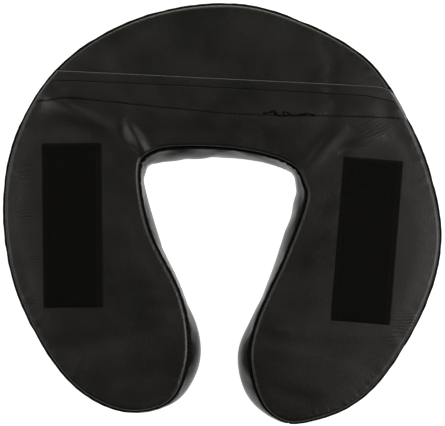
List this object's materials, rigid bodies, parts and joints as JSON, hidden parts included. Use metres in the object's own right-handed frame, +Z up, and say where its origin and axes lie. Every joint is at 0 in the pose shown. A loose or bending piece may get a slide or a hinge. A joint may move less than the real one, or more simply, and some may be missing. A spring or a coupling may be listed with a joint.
{
  "type": "horseshoe face rest cushion",
  "caption": "Horseshoe face rest cushion for a massage table: foam core in a sewn black leatherette cover, lap closure and hook strips on the back.",
  "frame": {"origin": "on the ground under the middle of the cushion, which lies face down as stored", "axes": "+Z up, out of the back of the cover and its hook strips; +Y from the two arm tips to the closed end; +X to the right seen from above the back"},
  "size_m": [0.2984, 0.2838, 0.07],
  "materials": {
    "foam": "matte",
    "cover": "satin",
    "thread": "matte",
    "loop_tape": "matte",
    "hook_tape": "matte"
  },
  "bodies": {
    "root": {"foam_core": "foam", "face_panel": "cover", "back_panel": "cover", "back_cap_panel": "cover", "inner_boxing": "cover", "outer_boxing": "cover", "back_seam_thread": "thread", "face_seam_thread": "thread", "left_tip_seam_thread": "thread", "right_tip_seam_thread": "thread", "closure_loop_tape": "loop_tape", "closure_hook_tape": "hook_tape", "lap_upper_stitch": "thread", "lap_lower_stitch": "thread", "left_hook_strip": "hook_tape", "left_strip_stitch": "thread", "right_hook_strip": "hook_tape", "right_strip_stitch": "thread"}
  },
  "joints": []
}
